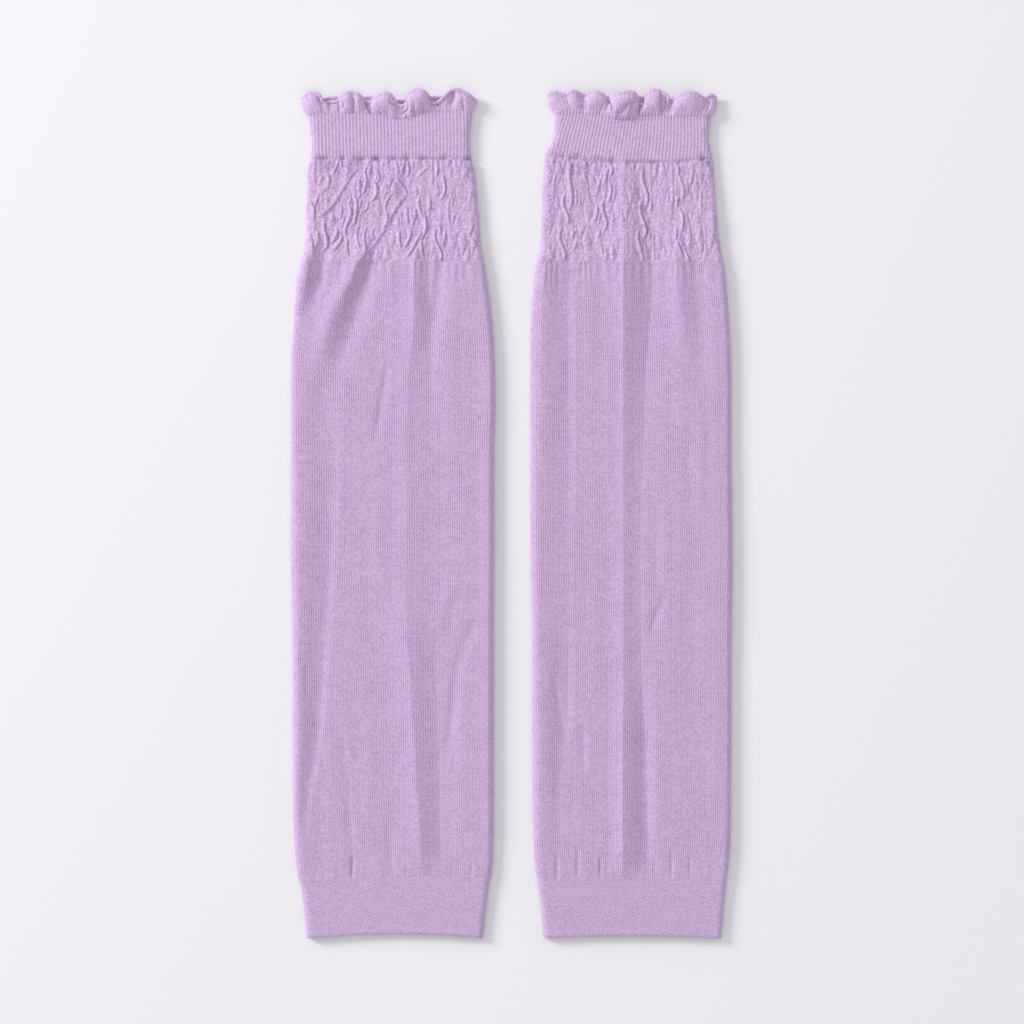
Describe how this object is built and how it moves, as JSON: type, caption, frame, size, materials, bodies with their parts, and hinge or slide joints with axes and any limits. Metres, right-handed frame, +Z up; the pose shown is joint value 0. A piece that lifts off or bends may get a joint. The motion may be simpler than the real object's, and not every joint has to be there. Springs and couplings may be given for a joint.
{
  "type": "pair of sleeve covers",
  "caption": "Pair of knitted tubular sleeve covers with a ribbed top, frilled edge, crinkled band, long plain body and a flat cuff, laid flat side by side.",
  "frame": {"origin": "middle of the pair's outline, on the surface that the sleeves lie on", "axes": "+X across the pair to the picture's right, +Y along the sleeves towards the frilled ends, +Z up from the surface"},
  "size_m": [0.2208, 0.4252, 0.0072],
  "materials": {
    "pique_knit": "lilac bird's-eye knit, matt",
    "jersey_knit": "lilac fine jersey knit, matt",
    "crinkle_knit": "lilac crinkled smocked knit, matt",
    "rib_knit": "lilac elastic rib knit, matt",
    "ruffle_knit": "lilac frilled rib knit with an overlocked rim, matt"
  },
  "bodies": {
    "root": {"left_cuff": "pique_knit", "left_body": "jersey_knit", "left_crinkle": "crinkle_knit", "left_rib": "rib_knit", "left_ruffle": "ruffle_knit", "right_cuff": "pique_knit", "right_body": "jersey_knit", "right_crinkle": "crinkle_knit", "right_rib": "rib_knit", "right_ruffle": "ruffle_knit"}
  },
  "joints": []
}
